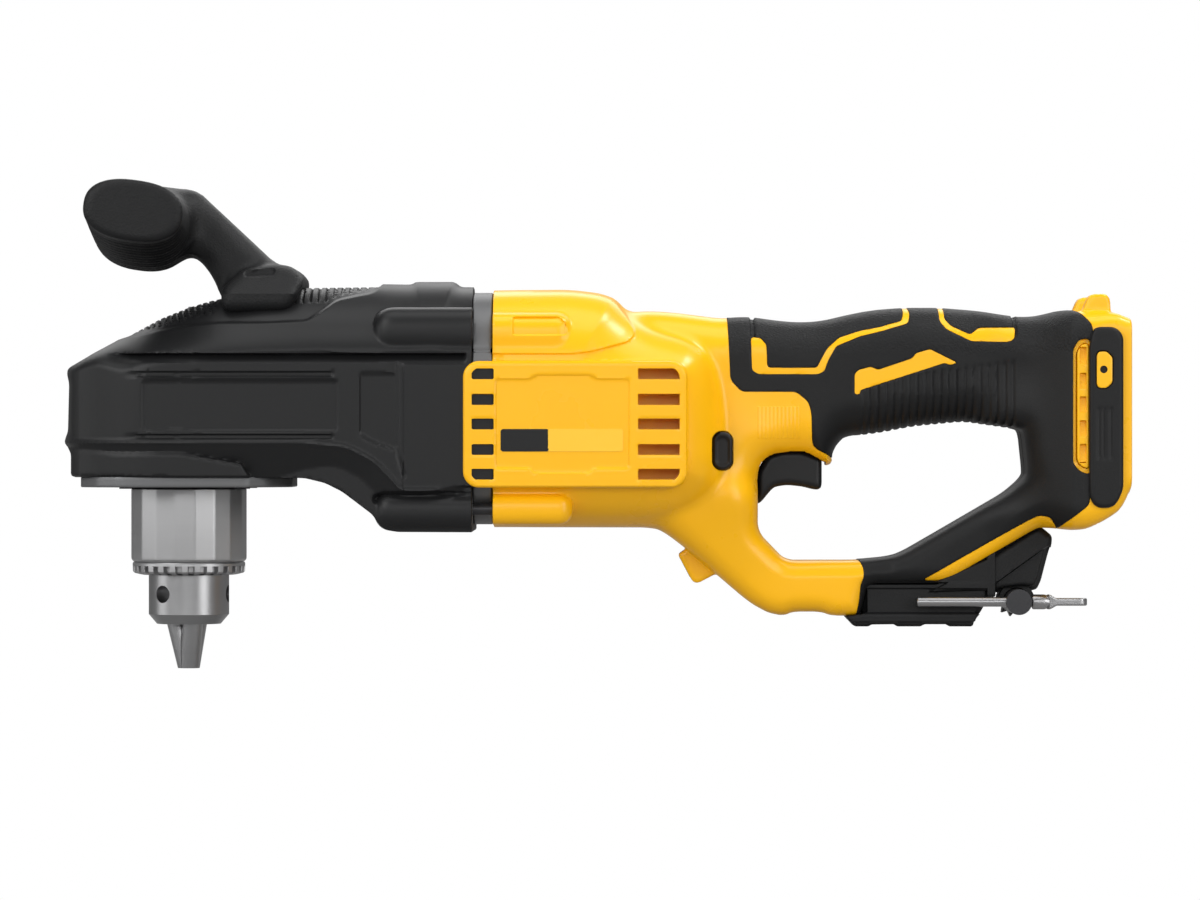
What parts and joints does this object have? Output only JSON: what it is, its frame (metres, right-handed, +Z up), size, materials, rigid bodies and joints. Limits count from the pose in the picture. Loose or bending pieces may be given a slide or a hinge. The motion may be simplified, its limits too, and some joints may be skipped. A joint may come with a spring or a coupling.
{
  "type": "right angle drill",
  "caption": "Cordless right angle drill: keyed chuck below a gear head, motor barrel with side vents, rear grip, open hand loop, top bail handle and battery foot.",
  "frame": {"origin": "closed jaw tips, on the chuck axis", "axes": "+X from the chuck to the battery foot, +Z up the spindle, +Y to the user's left when the chuck points away"},
  "size_m": [0.4403, 0.114, 0.2012],
  "materials": {
    "housing_plastic": "fine satin texture",
    "black_plastic": "satin",
    "grip_rubber": "matt, ribbed",
    "cast_alloy": "cast, bead blasted",
    "steel": "ground",
    "dark_steel": "blackened",
    "chuck_steel": "satin",
    "lamination_steel": "stacked sheet",
    "copper_wire": "enamelled",
    "circuit_board": "solder mask",
    "clear_lens": "clear",
    "red_lead": "insulation",
    "black_lead": "insulation"
  },
  "bodies": {
    "tool_body": {"housing_right": "housing_plastic", "housing_left": "housing_plastic", "grip_cover_right": "grip_rubber", "grip_cover_left": "grip_rubber", "battery_bumper_right": "grip_rubber", "battery_bumper_left": "grip_rubber", "gear_case": "cast_alloy", "gear_case_jacket": "black_plastic", "spindle_plate": "cast_alloy", "motor_end_plate": "cast_alloy", "top_handle": "black_plastic", "top_handle_grip": "grip_rubber", "top_handle_bolts": "dark_steel", "stator": "lamination_steel", "stator_windings": "copper_wire", "sensor_board": "circuit_board", "front_motor_bearing": "steel", "rear_motor_bearing": "steel", "front_pinion_bearing": "steel", "rear_pinion_bearing": "steel", "lower_spindle_bearing": "steel", "upper_spindle_bearing": "steel", "trigger_switch": "black_plastic", "controller_module": "black_plastic", "led_lens": "clear_lens", "led_board": "circuit_board", "terminal_block": "black_plastic", "terminal_blades": "copper_wire", "power_lead_red": "red_lead", "power_lead_black": "black_lead", "key_holder": "grip_rubber", "housing_screws": "dark_steel", "gear_case_screws": "dark_steel", "plate_screws": "dark_steel"},
    "spindle_body": {"spindle": "steel", "bevel_gear": "steel", "chuck_body": "steel", "chuck_screw": "dark_steel"},
    "sleeve_body": {"chuck_sleeve": "chuck_steel", "chuck_nut": "dark_steel"},
    "jaw_1_body": {"jaw_1": "steel"},
    "jaw_2_body": {"jaw_2": "steel"},
    "jaw_3_body": {"jaw_3": "steel"},
    "pinion_body": {"pinion_shaft": "steel", "spur_gear": "steel"},
    "motor_body": {"rotor_core": "lamination_steel", "motor_shaft": "steel", "cooling_fan": "black_plastic", "motor_pinion": "steel"},
    "trigger_body": {"trigger": "black_plastic"},
    "button_body": {"direction_button": "black_plastic"},
    "key_body": {"chuck_key_shank": "dark_steel", "chuck_key_bar": "dark_steel"}
  },
  "joints": [
    {"name": "chuck_spin", "type": "hinge", "parent": "tool_body", "child": "spindle_body", "pos_m": [0, 0, 0.05], "axis": [0, 0, 1], "continuous": true},
    {"name": "intermediate_spin", "type": "hinge", "parent": "tool_body", "child": "pinion_body", "pos_m": [0.05, 0, 0.1305], "axis": [1, 0, 0], "continuous": true},
    {"name": "motor_spin", "type": "hinge", "parent": "tool_body", "child": "motor_body", "pos_m": [0.15, 0, 0.108], "axis": [1, 0, 0], "continuous": true},
    {"name": "chuck_sleeve_turn", "type": "hinge", "parent": "spindle_body", "child": "sleeve_body", "pos_m": [0, 0, 0.05], "axis": [0, 0, -1], "range_deg": [0, 3553]},
    {"name": "jaw_1_slide", "type": "slide", "parent": "spindle_body", "child": "jaw_1_body", "axis": [0.0945, -0.2227, 0.9703], "range_m": [0, 0.0227]},
    {"name": "jaw_2_slide", "type": "slide", "parent": "spindle_body", "child": "jaw_2_body", "axis": [0.1456, 0.1932, 0.9703], "range_m": [0, 0.0227]},
    {"name": "jaw_3_slide", "type": "slide", "parent": "spindle_body", "child": "jaw_3_body", "axis": [-0.2401, 0.0295, 0.9703], "range_m": [0, 0.0227]},
    {"name": "trigger_pull", "type": "slide", "parent": "tool_body", "child": "trigger_body", "axis": [0, 0, 1], "range_m": [0, 0.0065], "stiffness_N_per_m": 900},
    {"name": "direction_shift", "type": "slide", "parent": "tool_body", "child": "button_body", "axis": [0, 1, 0], "range_m": [-0.0025, 0.0025]},
    {"name": "chuck_key_pull", "type": "slide", "parent": "tool_body", "child": "key_body", "axis": [0, 0, -1], "range_m": [0, 0.025]}
  ],
  "couplings": [
    {"joint": "intermediate_spin", "follows": "chuck_spin", "ratio": 3},
    {"joint": "motor_spin", "follows": "chuck_spin", "ratio": -12},
    {"joint": "jaw_1_slide", "follows": "chuck_sleeve_turn", "m_per_rad": 0.000366},
    {"joint": "jaw_2_slide", "follows": "chuck_sleeve_turn", "m_per_rad": 0.000366},
    {"joint": "jaw_3_slide", "follows": "chuck_sleeve_turn", "m_per_rad": 0.000366}
  ]
}
